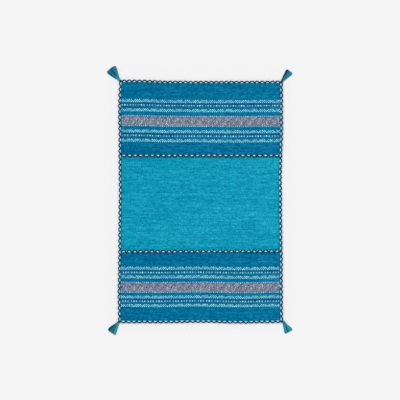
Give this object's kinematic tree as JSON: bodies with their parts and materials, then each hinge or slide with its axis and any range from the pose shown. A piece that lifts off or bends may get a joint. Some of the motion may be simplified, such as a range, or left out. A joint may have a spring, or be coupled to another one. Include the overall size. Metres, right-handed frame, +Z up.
{
  "type": "kilim",
  "caption": "Small flat-woven cotton kilim lying flat, with striped and patterned end bands, a wavy two-colour cord along its edges and across it, and a spread tassel at each corner.",
  "frame": {"origin": "the middle of the cloth's flat underside, where it lies on the floor", "axes": "+X across the rug, +Y along the rug's length, +Z up from the floor"},
  "size_m": [0.6881, 0.9981, 0.0123],
  "materials": {
    "woven_cotton": "matt flat weave in blue and turquoise cotton",
    "cord_yarn": "matt plied cotton yarn, navy over white",
    "tassel_yarn": "matt loose cotton yarns, mixed blue and green"
  },
  "bodies": {
    "root": {"cloth": "woven_cotton", "edge_cord_top": "cord_yarn", "edge_cord_bottom": "cord_yarn", "edge_cord_left": "cord_yarn", "edge_cord_right": "cord_yarn", "divider_cord_top": "cord_yarn", "divider_cord_bottom": "cord_yarn", "tassel_top_left": "tassel_yarn", "tassel_top_right": "tassel_yarn", "tassel_bottom_left": "tassel_yarn", "tassel_bottom_right": "tassel_yarn"}
  },
  "joints": []
}
